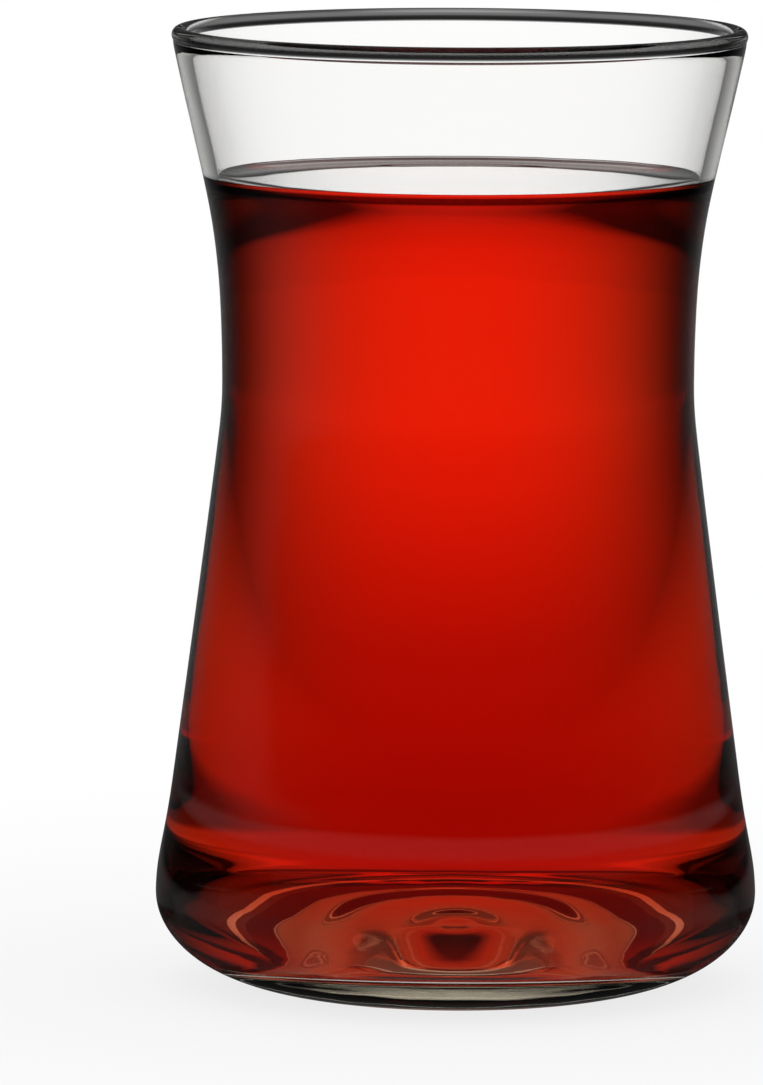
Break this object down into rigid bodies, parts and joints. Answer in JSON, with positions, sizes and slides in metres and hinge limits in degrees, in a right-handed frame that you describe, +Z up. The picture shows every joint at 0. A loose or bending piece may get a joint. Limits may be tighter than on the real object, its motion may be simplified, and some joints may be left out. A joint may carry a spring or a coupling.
{
  "type": "turkish tea glass",
  "caption": "Small narrow-waisted glass with a flared mouth and a rounded heel, filled with dark red tea to below the lip.",
  "frame": {"origin": "centre of the foot, on the plane that the glass stands on", "axes": "+Z up along the glass's axis, through the middle of the mouth; the glass is round, so X and Y are alike"},
  "size_m": [0.0572, 0.0572, 0.091],
  "materials": {
    "clear_glass": "clear, smooth, fire-polished soda-lime glass",
    "black_tea": "clear, deep red brewed black tea, still surface"
  },
  "bodies": {
    "root": {"glass": "clear_glass", "tea": "black_tea"}
  },
  "joints": []
}
